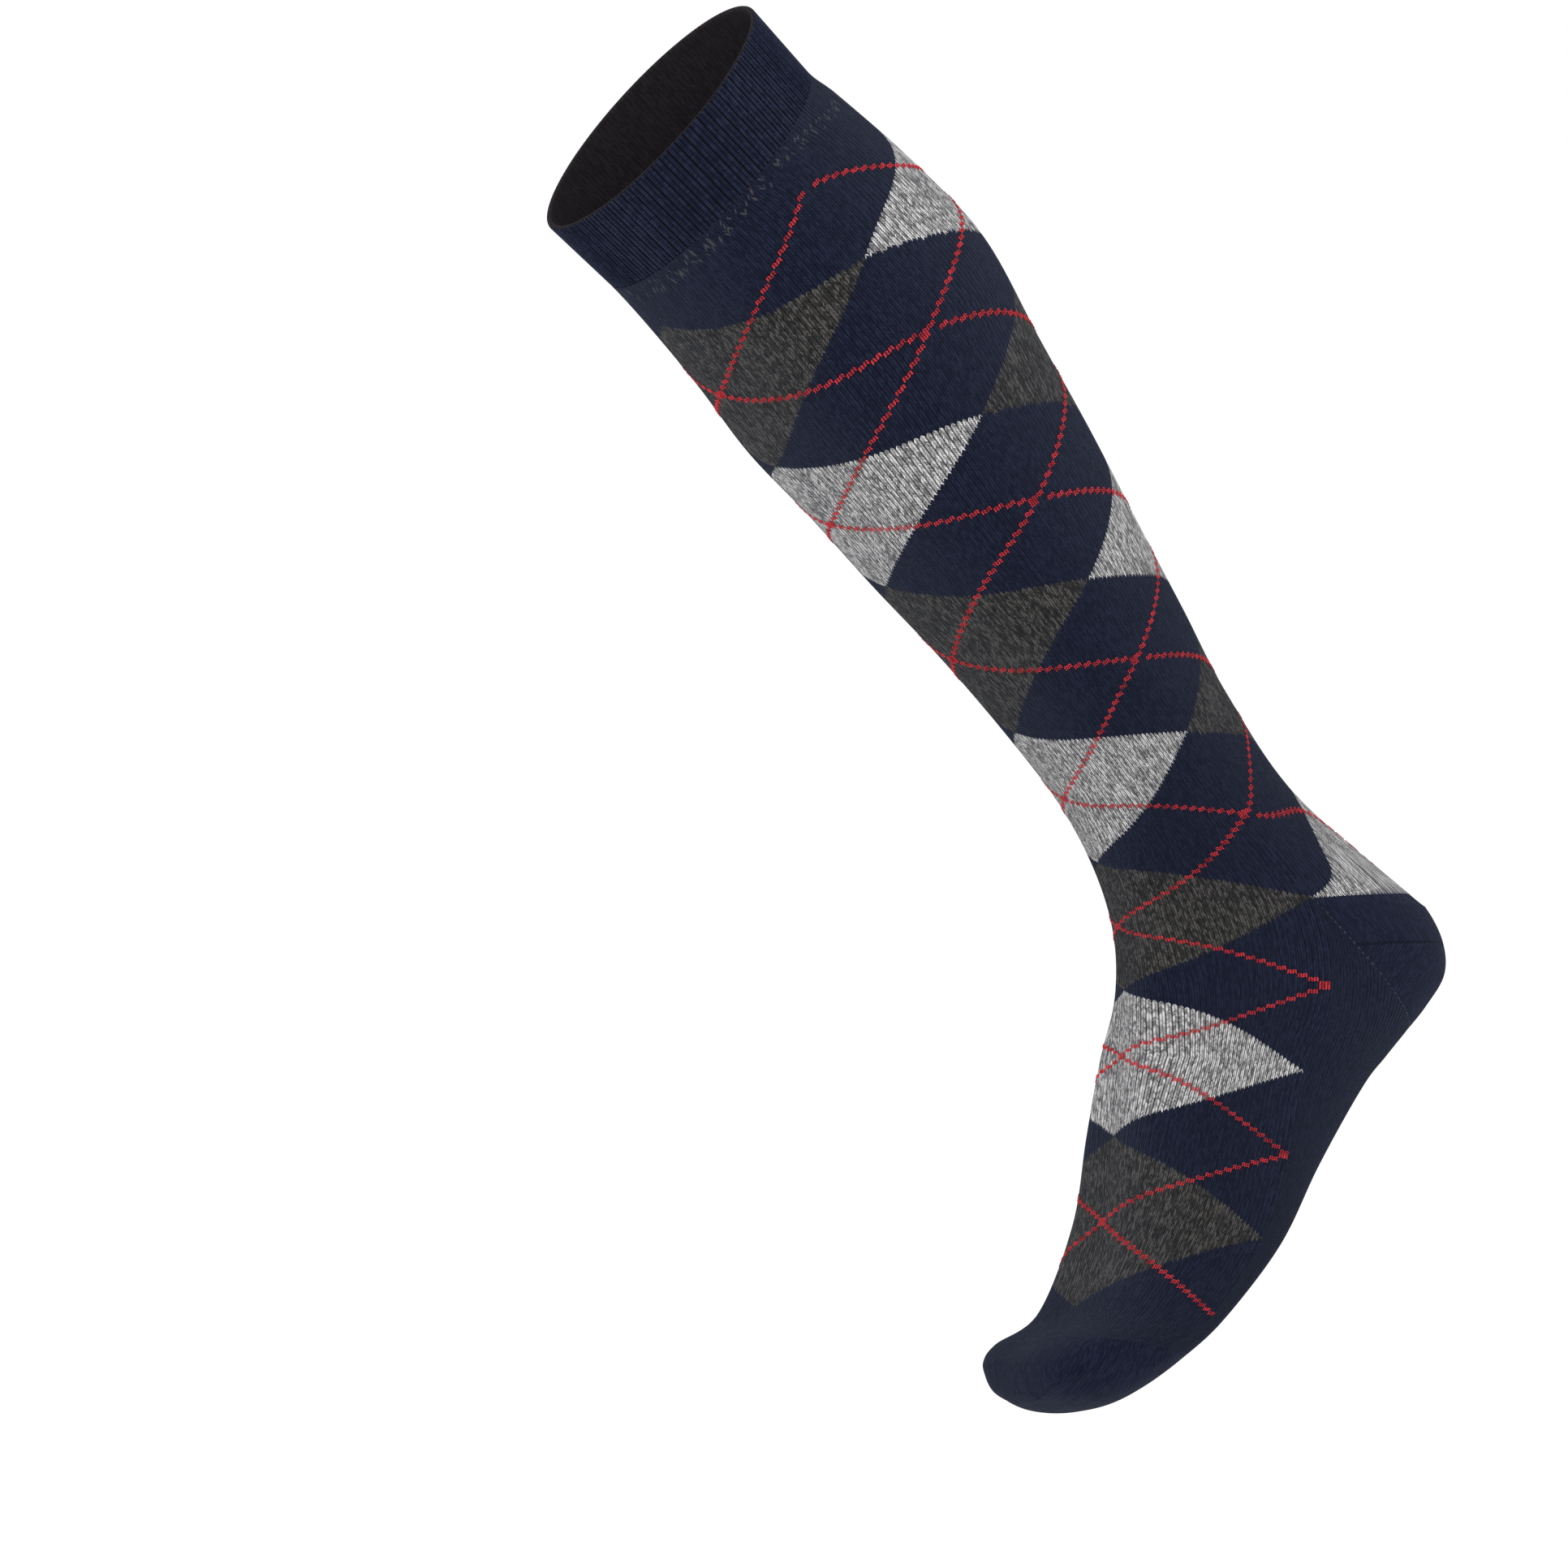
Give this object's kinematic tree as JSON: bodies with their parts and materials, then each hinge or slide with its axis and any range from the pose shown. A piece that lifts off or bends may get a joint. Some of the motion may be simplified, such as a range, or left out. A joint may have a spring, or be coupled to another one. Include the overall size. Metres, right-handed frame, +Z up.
{
  "type": "argyle knee sock",
  "caption": "Knee-high knitted sock in worn form, with ribbed cuff, argyle diamonds on leg and instep, and plain heel, sole and toe.",
  "frame": {"origin": "centre of the open mouth at the top of the cuff, where a leg goes in", "axes": "+Z up the leg, -X towards the toe, +Y towards the inner side of a left foot"},
  "size_m": [0.2747, 0.1188, 0.4923],
  "materials": {
    "navy_rib": "fine ribbed knit, matt",
    "navy_knit": "fine plain knit, matt",
    "argyle_knit": "fine plain knit in navy, dark grey heather and light grey heather diamonds, with red crossing lines"
  },
  "bodies": {
    "root": {"cuff": "navy_rib", "leg": "argyle_knit", "heel": "navy_knit", "foot": "argyle_knit", "toe": "navy_knit"}
  },
  "joints": []
}
